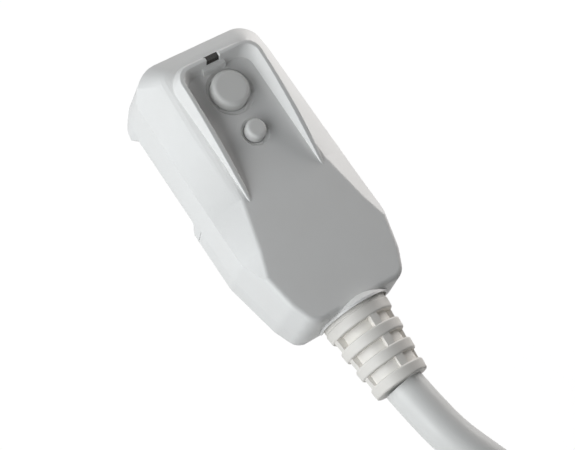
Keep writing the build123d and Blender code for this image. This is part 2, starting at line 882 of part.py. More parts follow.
def rectifier_diodes():
    """The four diodes in a row at the blade end of the board."""
    return Compound(children=[block(x - 1.3, x + 1.3, 76.9, 78.5, board_top, board_top + 1.1)
                              for x in (-7.2, -4.0, 4.0, 7.2)])


def indicator_lamp():
    """The lamp behind the window, on its two wires."""
    y = lamp_y
    top = face_height(y) - wall - lamp_clear
    base = top - 4.4
    lamp = post(window_x, y, base, top - lamp_radius, lamp_radius)
    lamp += Pos(window_x, y, top - lamp_radius) * Sphere(lamp_radius)
    for side in (-1, 1):
        lamp += post(window_x + side * 0.7, y, board_top, base, 0.3)
    return lamp


def indicator_window():
    """The dark lens that fills the ridge's slot, set back from its inner face."""
    half = slot_half - lens_clear
    y0 = lens_y0 + lens_clear
    y1 = lens_y1 - lens_clear
    lean = (crest_inner_top - ridge_inner_top) / ridge_height
    front = ridge_inner_top + lens_recess
    profile = Polyline((0, y0, -wall - 0.3), (0, y0, slot_sill), (0, front + lean * slot_sill, slot_sill),
                       (0, front + lean * lens_height, lens_height), (0, y1, lens_height),
                       (0, y1, -wall - 0.3), close=True)
    lens = extrude(make_face(profile), amount=half, dir=(1, 0, 0), both=True)
    return on_face(Pos(window_x, 0, 0) * lens)


# Buttons

def button_top(y, rise):
    """A half space under a plane parallel to the face, `rise` above it."""
    cut = Box(60, 60, 60, align=(Align.CENTER, Align.CENTER, Align.MAX))
    return on_face(Pos(0, y, rise) * cut)


def reset_button():
    """The larger button: hollow cap, flange and the stem to the latch."""
    cap = post(0, reset_y, flange_z, 40, reset_radius) & button_top(reset_y, reset_rise)
    cap = fillet([e for e in cap.edges() if e.center().Z > flange_z + 1], reset_soften)
    cap += post(0, reset_y, flange_z, flange_z + flange_thick, reset_radius + flange_extra)
    outer, wire, curls = reset_spring
    cap -= post(0, reset_y, flange_z - 1, face_height(reset_y) + reset_rise - cap_wall - 1.2, outer + 0.35)
    stem_top = face_height(reset_y) + reset_rise - cap_wall - 1.0
    stem = post(0, reset_y, stem_end_z + 0.8, stem_top, stem_radius)
    return cap + stem + post(0, reset_y, stem_end_z, stem_end_z + 0.8, stem_radius - 0.7, stem_radius)


def test_button():
    """The smaller button with its flange and stem."""
    cap = post(0, test_y, test_flange_z, 40, test_radius) & button_top(test_y, test_rise)
    cap = fillet([e for e in cap.edges() if e.center().Z > test_flange_z + 1], test_soften)
    cap += post(0, test_y, test_flange_z, test_flange_z + flange_thick, test_radius + flange_extra)
    return cap + post(0, test_y, test_stem_end_z, test_flange_z, test_stem_radius)


def reset_return_spring():
    """The spring from the latch frame's bridge up into the cap."""
    outer, wire, curls = reset_spring
    top = face_height(reset_y) + reset_rise - cap_wall - 1.2
    return helix_spring(0, reset_y, bridge_z + bridge_thick, top, outer, wire, curls)


# Cord end inside the head

def cord_clamp():
    """The bar that grips the jacket on its saddle."""
    bar = along_cord(clamp_y0, clamp_y1, clamp_arch)
    bar += block(-clamp_half, clamp_half, clamp_y0, clamp_y1, cord_z, cord_z + clamp_ear)
    bar &= block(-clamp_half, clamp_half, clamp_y0, clamp_y1, cord_z, face_height(clamp_y0) - wall - 0.2)
    bar -= along_cord(clamp_y0 - 1, clamp_y1 + 1, cord_radius + clamp_clear)
    y = (clamp_y0 + clamp_y1) / 2
    return bar - both_sides(post(clamp_screw_x, y, cord_z - 1, cord_z + 5, screw_radius + 0.1))


def round_screw(x, y, seat, tip, head, shank):
    """A pan-head screw that points down from its seat."""
    body = post(x, y, tip, seat, shank) + post(x, y, seat, seat + screw_head_height, head)
    return body - block(x - head, x + head, y - 0.3, y + 0.3, seat + screw_head_height - 0.6, seat + 3)


def clamp_screws():
    """The two screws of the cord clamp."""
    y = (clamp_y0 + clamp_y1) / 2
    seat = cord_z + clamp_ear
    screws = [round_screw(s * clamp_screw_x, y, seat, wall + 1, 1.5, screw_radius - 0.15) for s in (-1, 1)]
    return Compound(children=screws)


def housing_screws():
    """The screws that hold both back shells to the front cover."""
    screws = []
    seat = screw_recess
    for x, y in screw_places:
        for side in (-1, 1):
            place_x = side * x
            body = post(place_x, y, seat, seat + screw_length, screw_radius - 0.2)
            body += post(place_x, y, seat - screw_head_height, seat, screw_head_radius)
            recess = screw_head_height - 0.6
            body -= block(place_x - 1.6, place_x + 1.6, y - 0.35, y + 0.35, seat - 3, seat - recess)
            body -= block(place_x - 0.35, place_x + 0.35, y - 1.6, y + 1.6, seat - 3, seat - recess)
            screws.append(body)
    return Compound(children=screws)


def cord_jacket_end():
    """The cord inside its strain relief and the head, to where its jacket ends."""
    return along_cord(-boot_length, jacket_end_y, cord_radius)


def insulated_lead(points, radii):
    """One insulated conductor along a bent path."""
    return tube(FilletPolyline(*points, radius=radii), lead_radius)


def line_lead(side):
    """A line conductor, from the jacket over and down through both coils."""
    over = board_top + 2 * sense_height + spacer_height + lead_radius + 0.1
    first = 1.7
    points = [(side * 2.4, jacket_end_y, cord_z + 1.4), (side * 2.4, jacket_end_y + 2.4, cord_z + 1.4),
              (side * first, sense_y - sense_outer - 1.0, over), (side * first, sense_y, over),
              (side * first, sense_y, board_top)]
    return insulated_lead(points, [2.0, 2.0, 2.0])


def ground_lead():
    """The ground conductor, from the jacket along the board to the pin's strap."""
    x = -9.2
    z = board_top + lead_radius + 0.15
    end = blade_y - pin_drop - strap_half
    points = [(0, jacket_end_y, cord_z - 2.4), (0, jacket_end_y + 2.0, cord_z - 2.4), (x, 19.0, z),
              (x, end, z)]
    return insulated_lead(points, [2.0, 3.0])


# Strain relief

def slotted_boot(length, first, last, core_first, core_last, rings, ring_z, width):
    """A tapered strain relief from Z = 0 down, with rings, webs and a core."""
    def outer_at(z):
        return first + (last - first) * z / length

    body = Pos(0, 0, -length / 2) * Cone(core_last, core_first, length)
    pitch = (length - ring_z - width) / (rings - 1)
    for i in range(rings):
        start = ring_z + i * pitch
        end = start + width
        ring = Pos(0, 0, -(start + end) / 2) * Cone(outer_at(end), outer_at(start), width)
        edges = [e for e in ring.edges() if e.geom_type == GeomType.CIRCLE]
        body += fillet(edges, ring_soften)
    skin = Pos(0, 0, -length / 2) * Cone(last - web_drop, first - web_drop, length - 2)
    for spin in (0, 90):
        body += skin & (Rot(Z=spin) * Box(2 * first, web_width, 3 * length))
    return body


def strain_relief_boot():
    """The head's slotted strain relief with its neck and inner flange."""
    boot = slotted_boot(boot_length, boot_first_radius, boot_last_radius, core_first_radius,
                        core_last_radius, ring_count, ring_start, ring_width)
    boot = Pos(0, 0, cord_z) * Rot(X=-90) * boot
    boot += along_cord(-2, 0.2, boot_first_radius - 0.4)
    boot += along_cord(0.2, neck_y1, neck_radius)
    flange = along_cord(neck_y1, neck_y1 + neck_flange_thick, neck_flange_radius)
    roof = face_height(neck_y1) - wall - neck_flange_clear
    boot += flange & block(-20, 20, 0, 10, wall + neck_flange_clear, roof)
    return boot - along_cord(-40, 40, cord_radius + boot_bore_clear)


# Free cord in the finished part's frame

half_coil = coil_turns / 2
coil_outer_radius = coil_inner_radius + turn_pitch * half_coil
coil_start = Vector(coil_x + coil_outer_radius, coil_y, coil_z1)


def coil_radius(turn):
    """Radius of the winding, counted in turns from its middle."""
    return coil_inner_radius + turn_pitch * abs(turn)


def coil_point(turn):
    """A point of the winding, clockwise seen from above."""
    angle = -2 * pi * (turn + half_coil)
    climb = min(max(turn + 0.25, 0), 0.5) * 2
    fall = min(max((turn - half_coil + 0.25) * 4, 0), 1)
    height = coil_z1 + layer_rise * climb * climb * (3 - 2 * climb)
    height -= end_drop * fall * fall * (3 - 2 * fall)
    radius = coil_radius(turn)
    return Vector(coil_x + radius * cos(angle), coil_y + radius * sin(angle), height)


def coil_way(turn):
    """Direction of the winding at a point."""
    step = 1e-4
    if abs(turn) > half_coil - 1e-6:
        angle = -2 * pi * (turn + half_coil)
        return Vector(sin(angle), -cos(angle), 0)
    return (coil_point(turn + step) - coil_point(turn - step)).normalized()


def cord_route():
    """Points of the cord from the strain relief to the coil."""
    exit_y = -boot_length - mid_y
    height = cord_z + pin_length
    end = coil_start - coil_way(-half_coil) * cord_diameter
    return [Vector(0, exit_y, height), Vector(0, exit_y - 12, height), Vector(3.3, exit_y - 31, height - 1.0),
            Vector(8.5, exit_y - 50, height - 5.9), Vector(14.1, exit_y - 68, height - 15.4),
            Vector(16.1, exit_y - 85.7, height - 21.8), end + Vector(0, 14, 0), end]


def cord_run():
    """The cord between the strain relief and the coil, and its radii."""
    points = cord_route()
    runs = [b - a for a, b in zip(points, points[1:])]
    radii = []
    for a, b in zip(runs, runs[1:]):
        half_turn = radians(a.get_angle(b)) / 2
        radii.append(run_share * min(a.length, b.length) / tan(half_turn))
    print("cord radii", [round(r) for r in radii], "runs", [round(r.length, 1) for r in runs])
    path = FilletPolyline(*points, radius=radii)
    solid = tube(path, cord_radius)
    print("cord run length", round(path.length, 1), "volume over section times length",
          round(solid.volume / (pi * cord_radius ** 2 * path.length), 4))
    return solid


def cord_coil():
    """The coil: in on the floor layer, out again on the upper one."""
    path = wound_path(coil_point, coil_way, -half_coil, half_coil, 0.25, cord_diameter)
    solid = tube(path, cord_radius)
    print("coil length", round(path.length, 1), "least gap", round(least_gap(path, cord_radius, 1100), 2),
          "volume over section times length", round(solid.volume / (pi * cord_radius ** 2 * path.length), 4))
    return solid


def coil_tie():
    """The strap round both layers of the coil."""
    inner_x0 = coil_inner_radius - cord_radius - tie_clear - 0.5
    inner_x1 = coil_radius(half_coil - 0.25) + cord_radius + tie_clear + 0.2
    top = coil_z1 + layer_rise + cord_radius + tie_clear
    low = coil_z1 - cord_radius - floor_lift
    wide, tall = inner_x1 - inner_x0, top - low
    band = RectangleRounded(wide + 2 * tie_thick, tall + 2 * tie_thick, tie_corner + tie_thick)
    band -= RectangleRounded(wide, tall, tie_corner)
    solid = extrude(Plane.XZ * band, amount=tie_width / 2, both=True)
    solid = Pos((inner_x0 + inner_x1) / 2, 0, (top + low) / 2) * solid
    return Pos(coil_x, coil_y, 0) * Rot(Z=-90) * solid


# Connector in the finished part's frame

plug_start = coil_point(half_coil) + coil_way(half_coil) * cord_diameter


def at_plug(shape):
    """Move a shape drawn along +Z from the cord's end to its place."""
    return Pos(plug_start) * Rot(X=-90) * shape


def plug_disc(radius, z0, z1):
    """A cylinder on the connector's axis."""
    return Pos(0, 0, (z0 + z1) / 2) * Cylinder(radius, z1 - z0)


plug_front = plug_boot_length + plug_length


def connector_body():
    """The connector's round body with finger grooves, hollow for its contacts."""
    back = plug_boot_length
    waist = plug_boot_first + 1.2
    profile = Polyline((0, back), (waist, back), (plug_radius, back + plug_shoulder),
                       (plug_radius, plug_front), (0, plug_front), close=True)
    face = make_face(profile)
    corners = [v for v in face.vertices() if v.X > 1]
    face = fillet(corners, plug_soften)
    body = revolve(Plane.XZ * face, axis=Axis.Z)
    for i in range(grip_count):
        angle = 360 * (i + 0.5) / grip_count
        reach = plug_radius + grip_radius - grip_depth
        middle = back + grip_start + grip_length / 2
        groove = Pos(reach, 0, middle) * Cylinder(grip_radius, grip_length - 2 * grip_radius)
        for end in (-1, 1):
            groove += Pos(reach, 0, middle + end * (grip_length / 2 - grip_radius)) * Sphere(grip_radius)
        body -= Rot(Z=angle) * groove
    body -= plug_disc(plug_radius - plug_rim, plug_front - plug_face_depth - plug_face_recess, plug_front + 1)
    return at_plug(body - plug_disc(plug_radius - plug_rim - plug_hollow_step, plug_front - plug_hollow, plug_front))


def connector_boot():
    """The connector's own strain relief."""
    boot = slotted_boot(plug_boot_length, plug_boot_first, plug_boot_last, plug_core_first,
                        plug_core_last, plug_ring_count, plug_ring_start, plug_ring_width)
    boot = Pos(0, 0, plug_boot_length) * boot
    return at_plug(boot - plug_disc(cord_radius + boot_bore_clear, -1, plug_boot_length + 1))


def connector_cord_end():
    """The cord inside the connector's strain relief."""
    return at_plug(plug_disc(cord_radius, 0, plug_boot_length))


def connector_face():
    """The face plate with its two slots and ground hole."""
    top = plug_front - plug_face_recess
    plate = plug_disc(plug_radius - plug_rim - prong_clear, top - plug_face_depth, top)
    for side in (-1, 1):
        plate -= Pos(side * blade_spacing / 2, slot_y, top) * Box(slot_wide, slot_tall, 20)
    return at_plug(plate - Pos(0, ground_hole_y, top) * Cylinder(ground_hole_radius, 20))


def connector_contacts():
    """The sprung brass contacts behind the face."""
    top = plug_front - plug_face_recess - plug_face_depth - contact_drop
    pieces = []
    for side in (-1, 1):
        clip = Box(2 * blade_thick + 2 * contact_thick, blade_width, contact_depth)
        clip -= Pos(0, 0, contact_thick) * Box(2 * blade_thick, blade_width + 1, contact_depth)
        pieces.append(Pos(side * blade_spacing / 2, slot_y, top - contact_depth / 2) * clip)
    sleeve = Cylinder(pin_radius + prong_clear + contact_thick, contact_depth)
    sleeve -= Cylinder(pin_radius + prong_clear, contact_depth + 1)
    pieces.append(Pos(0, ground_hole_y, top - contact_depth / 2) * sleeve)
    return at_plug(Compound(children=pieces))


head_nodes = {
    "front_cover": front_cover, "back_cover": back_cover, "blade_base": blade_base,
    "indicator_window": indicator_window, "reset_button": reset_button, "test_button": test_button,
    "reset_return_spring": reset_return_spring, "hot_blade": lambda: blade(1),
    "neutral_blade": lambda: blade(-1), "ground_pin": ground_pin, "circuit_board": circuit_board,
    "solenoid_bobbin": solenoid_bobbin, "solenoid_winding": solenoid_winding,
    "solenoid_frame": solenoid_frame, "plunger": plunger,
    "plunger_return_spring": plunger_return_spring, "latch_plate": latch_plate,
    "latch_frame": latch_frame, "contact_carriage": contact_carriage, "contact_arms": contact_arms,
    "fixed_contacts": fixed_contacts, "test_leaf": test_leaf, "sense_coil": sense_coil,
    "coil_spacer": coil_spacer, "neutral_coil": neutral_coil, "film_capacitor": film_capacitor,
    "varistor": varistor, "electrolytic_capacitor": electrolytic_capacitor, "resistors": resistors,
    "control_chip": control_chip, "trigger_thyristor": trigger_thyristor,
    "rectifier_diodes": rectifier_diodes, "indicator_lamp": indicator_lamp,
    "cord_clamp": cord_clamp, "clamp_screws": clamp_screws, "housing_screws": housing_screws,
    "cord_jacket_end": cord_jacket_end, "black_lead": lambda: line_lead(1),
    "white_lead": lambda: line_lead(-1), "green_lead": ground_lead,
    "strain_relief_boot": strain_relief_boot,
}

cord_nodes = {
    "cord_run": cord_run, "cord_coil": cord_coil, "coil_tie": coil_tie,
    "connector_body": connector_body, "connector_boot": connector_boot,
    "connector_cord_end": connector_cord_end, "connector_face": connector_face,
    "connector_contacts": connector_contacts,
}


def main():
    """Write one STEP file for each node."""
    os.makedirs("parts", exist_ok=True)
    for name, make in head_nodes.items():
        export_step(place * make(), f"parts/{name}.step")
    for name, make in cord_nodes.items():
        export_step(make(), f"parts/{name}.step")


if __name__ == "__main__":
    main()
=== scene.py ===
"""Looks of the ground-fault plug and its cord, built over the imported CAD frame.

Lengths are in metres, in the row's frame: +Y runs from the strain relief to the
blade end of the head and +Z points out of its front.
"""

import json
import logging
import math
from dataclasses import dataclass
from enum import Enum

import bpy
from mathutils import Matrix, Vector


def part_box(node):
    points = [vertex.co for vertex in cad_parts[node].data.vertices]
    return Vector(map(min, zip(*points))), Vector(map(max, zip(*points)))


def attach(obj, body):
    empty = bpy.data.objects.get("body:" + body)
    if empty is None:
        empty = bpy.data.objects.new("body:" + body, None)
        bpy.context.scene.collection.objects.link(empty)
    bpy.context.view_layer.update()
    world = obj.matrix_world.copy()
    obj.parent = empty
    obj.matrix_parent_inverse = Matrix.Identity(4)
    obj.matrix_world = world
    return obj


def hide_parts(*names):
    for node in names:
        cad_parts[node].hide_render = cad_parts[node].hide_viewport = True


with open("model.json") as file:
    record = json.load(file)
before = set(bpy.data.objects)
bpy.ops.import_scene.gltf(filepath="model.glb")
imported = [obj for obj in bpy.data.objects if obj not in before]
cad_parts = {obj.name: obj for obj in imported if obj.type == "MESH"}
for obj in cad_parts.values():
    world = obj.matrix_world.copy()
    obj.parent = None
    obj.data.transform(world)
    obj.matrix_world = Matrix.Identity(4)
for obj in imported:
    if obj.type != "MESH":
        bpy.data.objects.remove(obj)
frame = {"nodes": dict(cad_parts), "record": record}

logging.basicConfig(level=logging.INFO, format="%(message)s")
log = logging.getLogger("scene")

MM = 0.001
# The origin of the head's own drawing, in the row's frame.
HEAD_OFFSET = Vector((0.0, -29.75, 20.6)) * MM
NODE_SMOOTH_ANGLE = 32.0
WHITE = (1.0, 1.0, 1.0, 1.0)

Span = tuple[float, float]
Vector3 = tuple[float, float, float]
Colour = tuple[float, float, float, float]


class Grain(Enum):
    """How fine a moulded surface's texture is, as noise cells per metre."""

    FINE = 2600.0
    SATIN = 1400.0
    SMOOTH = 500.0


class Axis(Enum):
    """Axis that a texture's bands cross."""

    X = "X"
    Y = "Y"
    Z = "Z"


class Join(Enum):
    """Way in which two values become one."""

    ADD = "ADD"
    MULTIPLY = "MULTIPLY"
    GREATER = "MAXIMUM"


@dataclass(frozen=True)
class NoiseSpec:
    """A noise texture.

    Attributes:
        cells: Cells per metre.
        detail: Octaves of detail.
        rough: Weight of the finer octaves.
    """

    cells: float
    detail: float
    rough: float = 0.5


@dataclass(frozen=True)
class BandSpec:
    """A texture of even bands.

    Attributes:
        scale: How closely the bands follow each other.
        wander: How far they leave a straight line.
        height: Height of the bump that they make, in metres.
    """

    scale: float
    wander: float
    height: float


@dataclass(frozen=True)
class PlasticSpec:
    """A moulded plastic or vinyl.

    Attributes:
        name: Material name.
        colour: Base colour as an sRGB hex text.
        shade: Second colour that cloudy variation drifts towards.
        roughness: Mean roughness.
        grain: Size of the surface texture.
        bump: Height of the texture in millimetres.
        sheen: Weight of the soft edge sheen.
    """

    name: str
    colour: str
    shade: str
    roughness: float
    grain: Grain
    bump: float
    sheen: float = 0.0


@dataclass(frozen=True)
class LensSpec:
    """A smoked lens.

    Attributes:
        name: Material name.
        colour: Base colour as an sRGB hex text.
        shade: Second colour, of its denser places.
        roughness: Roughness of its skin.
        coat: Weight of the clear coat.
        coat_roughness: Roughness of that coat.
    """

    name: str
    colour: str
    shade: str
    roughness: float
    coat: float
    coat_roughness: float


@dataclass(frozen=True)
class WeaveSpec:
    """A woven strap's fabric.

    Attributes:
        name: Material name.
        colour: Colour between the yarns, as an sRGB hex text, dark there as painted shade.
        light: Colour of the yarns' ridges, lighter there as a painted highlight.
        roughness: Roughness of the yarn.
        sheen: Weight of the soft edge sheen.
    """

    name: str
    colour: str
    light: str
    roughness: float
    sheen: float


@dataclass(frozen=True)
class MetalSpec:
    """A drawn, rolled or plated metal.

    Attributes:
        name: Material name.
        colour: Base colour as an sRGB hex text.
        shade: Colour of its tarnished patches.
        roughness: Mean roughness.
        stretch: How far the brush lines are stretched along X, Y and Z.
    """

    name: str
    colour: str
    shade: str
    roughness: float
    stretch: Vector3


def linear(hex_text: str) -> Colour:
    """Turn an sRGB hex text into a linear colour, by the curve of that standard.

    Args:
        hex_text: A colour such as "#E6E4DF".

    Returns:
        The linear red, green, blue and an alpha of 1.
    """
    parts = [int(hex_text[i:i + 2], 16) / 255 for i in (1, 3, 5)]
    values = [c / 12.92 if c <= 0.04045 else ((c + 0.055) / 1.055) ** 2.4 for c in parts]
    return (values[0], values[1], values[2], 1.0)


class NodeTree:
    """Short ways to build the nodes of a material or of the world."""

    COLUMN_WIDTH = 190
    ROW_DROP = 40
    ROWS = 5
    MIX_FACTOR, MIX_FIRST, MIX_SECOND, MIX_RESULT = 0, 6, 7, 2

    def __init__(self, owner: bpy.types.Material | bpy.types.World) -> None:
        """Start with no nodes.

        Args:
            owner: The material or world that gets the nodes.
        """
        owner.use_nodes = True
        self.owner = owner
        self.tree = owner.node_tree
        self.tree.nodes.clear()
        self.column = 0

    def add(self, kind: str, inputs: dict[str | int, object] | None = None,
            **settings: object) -> bpy.types.Node:
        """Add a node, set its fields and fill or link its sockets.

        Args:
            kind: Blender's node type name.
            inputs: Values or output sockets by input name or number.
            **settings: Fields of the node itself.

        Returns:
            The new node.
        """
        node = self.tree.nodes.new(kind)
        self.column += 1
        row = self.column % self.ROWS
        node.location = (self.column * self.COLUMN_WIDTH, -self.ROW_DROP * row)
        for field, value in settings.items():
            setattr(node, field, value)
        for key, value in (inputs or {}).items():
            if isinstance(value, bpy.types.NodeSocket):
                self.tree.links.new(value, node.inputs[key])
            else:
                node.inputs[key].default_value = value
        return node

    def place(self, stretch: Vector3 = (1.0, 1.0, 1.0),
              shift: Vector3 = (0.0, 0.0, 0.0)) -> bpy.types.NodeSocket:
        """Object coordinates, stretched and then shifted along the axes.

        Args:
            stretch: Scale along X, Y and Z.
            shift: Move along X, Y and Z, in metres.

        Returns:
            The vector output.
        """
        coordinate = self.add("ShaderNodeTexCoord")
        inputs = {"Vector": coordinate.outputs["Object"], "Location": shift, "Scale": stretch}
        return self.add("ShaderNodeMapping", inputs).outputs["Vector"]

    def noise(self, vector: bpy.types.NodeSocket, spec: NoiseSpec) -> bpy.types.NodeSocket:
        """Return the factor of a noise texture on some coordinates."""
        inputs = {"Vector": vector, "Scale": spec.cells, "Detail": spec.detail,
                  "Roughness": spec.rough}
        return self.add("ShaderNodeTexNoise", inputs).outputs["Fac"]

    def bands(self, vector: bpy.types.NodeSocket, spec: BandSpec,
              axis: Axis) -> bpy.types.NodeSocket:
        """Return the factor of a texture of bands that cross an axis."""
        inputs = {"Vector": vector, "Scale": spec.scale, "Distortion": spec.wander}
        return self.add("ShaderNodeTexWave", inputs, bands_direction=axis.value).outputs["Fac"]

    def join(self, way: Join, first: bpy.types.NodeSocket,
             second: bpy.types.NodeSocket | float) -> bpy.types.NodeSocket:
        """Return one output made of two, or of one and a plain value."""
        return self.add("ShaderNodeMath", {0: first, 1: second}, operation=way.value).outputs[0]

    def spread(self, value: bpy.types.NodeSocket, source: Span,
               target: Span) -> bpy.types.NodeSocket:
        """Return a value with its source range mapped onto the target range."""
        inputs = {"Value": value, "From Min": source[0], "From Max": source[1],
                  "To Min": target[0], "To Max": target[1]}
        return self.add("ShaderNodeMapRange", inputs).outputs["Result"]

    def blend(self, factor: bpy.types.NodeSocket, first: Colour,
              second: Colour) -> bpy.types.NodeSocket:
        """Return a mix of two colours, the factor being the second one's share."""
        inputs = {self.MIX_FACTOR: factor, self.MIX_FIRST: first, self.MIX_SECOND: second}
        return self.add("ShaderNodeMix", inputs, data_type="RGBA").outputs[self.MIX_RESULT]

    def bump(self, height: bpy.types.NodeSocket, distance: float) -> bpy.types.NodeSocket:
        """Return the normal of a bump from a height, at a distance in metres."""
        inputs = {"Height": height, "Distance": distance, "Strength": 1.0}
        return self.add("ShaderNodeBump", inputs).outputs["Normal"]

    def seen(self) -> bpy.types.NodeSocket:
        """One for rays from the camera, off a gloss or through glass, else zero.

        Returns:
            The value output.
        """
        rays = self.add("ShaderNodeLightPath").outputs
        direct = self.join(Join.GREATER, rays["Is Camera Ray"], rays["Is Glossy Ray"])
        return self.join(Join.GREATER, direct, rays["Is Transmission Ray"])

    def mix_shaders(self, share: bpy.types.NodeSocket, first: bpy.types.Node,
                    second: bpy.types.Node) -> bpy.types.NodeSocket:
        """Return a mix of two shaders' nodes by the second one's share."""
        inputs = {0: share, 1: first.outputs[0], 2: second.outputs[0]}
        return self.add("ShaderNodeMixShader", inputs).outputs[0]

    def surface(self, inputs: dict[str | int, object]) -> bpy.types.Material:
        """Close the tree with a Principled surface.

        Args:
            inputs: Its sockets.

        Returns:
            The finished material.
        """
        shader = self.add("ShaderNodeBsdfPrincipled", inputs)
        self.add("ShaderNodeOutputMaterial", {"Surface": shader.outputs["BSDF"]})
        return self.owner


class MaterialShop:
    """Makes the part's materials, each once."""

    PLASTIC_IOR = 1.49
    CLOUD = NoiseSpec(55.0, 3.0)
    CLOUD_RANGE = (0.35, 0.7)
    CLOUD_TINT = (0.0, 0.6)
    SPECK_SHARE = 0.35
    SPECK_DETAIL = 2.0
    SPECK_RANGE = (0.3, 0.7)
    SPECK_BELOW, SPECK_ABOVE = 0.05, 0.06
    GRAIN_DETAIL = 2.0
    GRAIN_ROUGH = 0.6
    BRUSH = NoiseSpec(900.0, 2.0)
    BRUSH_HEIGHT = 0.012 * MM
    BRUSH_RANGE = (0.3, 0.7)
    BRUSH_BELOW, BRUSH_ABOVE = 0.07, 0.09
    TARNISH = NoiseSpec(140.0, 4.0)
    TARNISH_RANGE = (0.45, 0.75)
    TARNISH_TINT = (0.0, 0.55)
    LENS_RIBS = BandSpec(420.0, 0.0, 0.03 * MM)
    SMOKE = NoiseSpec(300.0, 2.0)
    SMOKE_RANGE = (0.3, 0.7)
    SMOKE_TINT = (0.0, 0.5)
    YARN = BandSpec(330.0, 0.4, 0.12 * MM)
    YARN_RANGE = (0.3, 1.3)
    YARN_TINT = (0.0, 1.0)
    FUZZ = NoiseSpec(2200.0, 3.0)

    def plastic(self, spec: PlasticSpec) -> bpy.types.Material:
        """A moulded plastic with cloudy colour, grain and uneven gloss.

        Args:
            spec: What it looks like.

        Returns:
            The material.
        """
        tree = NodeTree(bpy.data.materials.new(spec.name))
        place = tree.place()
        cells = spec.grain.value
        cloud = tree.noise(place, self.CLOUD)
        speck = tree.noise(place, NoiseSpec(cells * self.SPECK_SHARE, self.SPECK_DETAIL))
        tint = tree.spread(cloud, self.CLOUD_RANGE, self.CLOUD_TINT)
        colour = tree.blend(tint, linear(spec.colour), linear(spec.shade))
        reach = (spec.roughness - self.SPECK_BELOW, spec.roughness + self.SPECK_ABOVE)
        rough = tree.spread(speck, self.SPECK_RANGE, reach)
        grain = tree.noise(place, NoiseSpec(cells, self.GRAIN_DETAIL, self.GRAIN_ROUGH))
        normal = tree.bump(grain, spec.bump * MM)
        return tree.surface({"Base Color": colour, "Roughness": rough, "Normal": normal,
                             "Sheen Weight": spec.sheen, "IOR": self.PLASTIC_IOR})

    def metal(self, spec: MetalSpec) -> bpy.types.Material:
        """A metal with brush lines and slight tarnish.

        Args:
            spec: What it looks like.

        Returns:
            The material.
        """
        tree = NodeTree(bpy.data.materials.new(spec.name))
        place = tree.place()
        lines = tree.noise(tree.place(spec.stretch), self.BRUSH)
        patch = tree.noise(place, self.TARNISH)
        tarnish = tree.spread(patch, self.TARNISH_RANGE, self.TARNISH_TINT)
        colour = tree.blend(tarnish, linear(spec.colour), linear(spec.shade))
        reach = (spec.roughness - self.BRUSH_BELOW, spec.roughness + self.BRUSH_ABOVE)
        rough = tree.spread(lines, self.BRUSH_RANGE, reach)
        normal = tree.bump(lines, self.BRUSH_HEIGHT)
        return tree.surface({"Base Color": colour, "Metallic": 1.0, "Roughness": rough,
                             "Normal": normal})

    def lens(self, spec: LensSpec) -> bpy.types.Material:
        """A smoked, finely ribbed lens.

        Args:
            spec: What it looks like.

        Returns:
            The material.
        """
        tree = NodeTree(bpy.data.materials.new(spec.name))
        place = tree.place()
        ribs = tree.bands(place, self.LENS_RIBS, Axis.X)
        smoke = tree.spread(tree.noise(place, self.SMOKE), self.SMOKE_RANGE, self.SMOKE_TINT)
        tint = tree.blend(smoke, linear(spec.colour), linear(spec.shade))
        normal = tree.bump(ribs, self.LENS_RIBS.height)
        return tree.surface({"Base Color": tint, "Roughness": spec.roughness, "Normal": normal,
                             "Coat Weight": spec.coat, "Coat Roughness": spec.coat_roughness})

    def weave(self, spec: WeaveSpec, centre: Vector) -> bpy.types.Material:
        """A woven strap, with its weave centred on the strap and painted shade between its
        yarns.

        Args:
            spec: What it looks like.
            centre: Middle of the strap.

        Returns:
            The material.
        """
        tree = NodeTree(bpy.data.materials.new(spec.name))
        place = tree.place(shift=tuple(-centre))
        warp, weft, rise = (tree.bands(place, self.YARN, axis) for axis in Axis)
        yarn = tree.join(Join.MULTIPLY, warp, tree.join(Join.GREATER, weft, rise))
        mixed = tree.join(Join.ADD, yarn, tree.noise(place, self.FUZZ))
        # The ridges get the lighter colour and the hollows between the yarns the darker one,
        # following the bump's height: painted highlight on the ridges, painted shade in the
        # hollows.
        yarn_shade_and_highlight = tree.spread(mixed, self.YARN_RANGE, self.YARN_TINT)
        colour = tree.blend(yarn_shade_and_highlight, linear(spec.colour), linear(spec.light))
        normal = tree.bump(mixed, self.YARN.height)
        return tree.surface({"Base Color": colour, "Roughness": spec.roughness, "Normal": normal,
                             "Sheen Weight": spec.sheen})


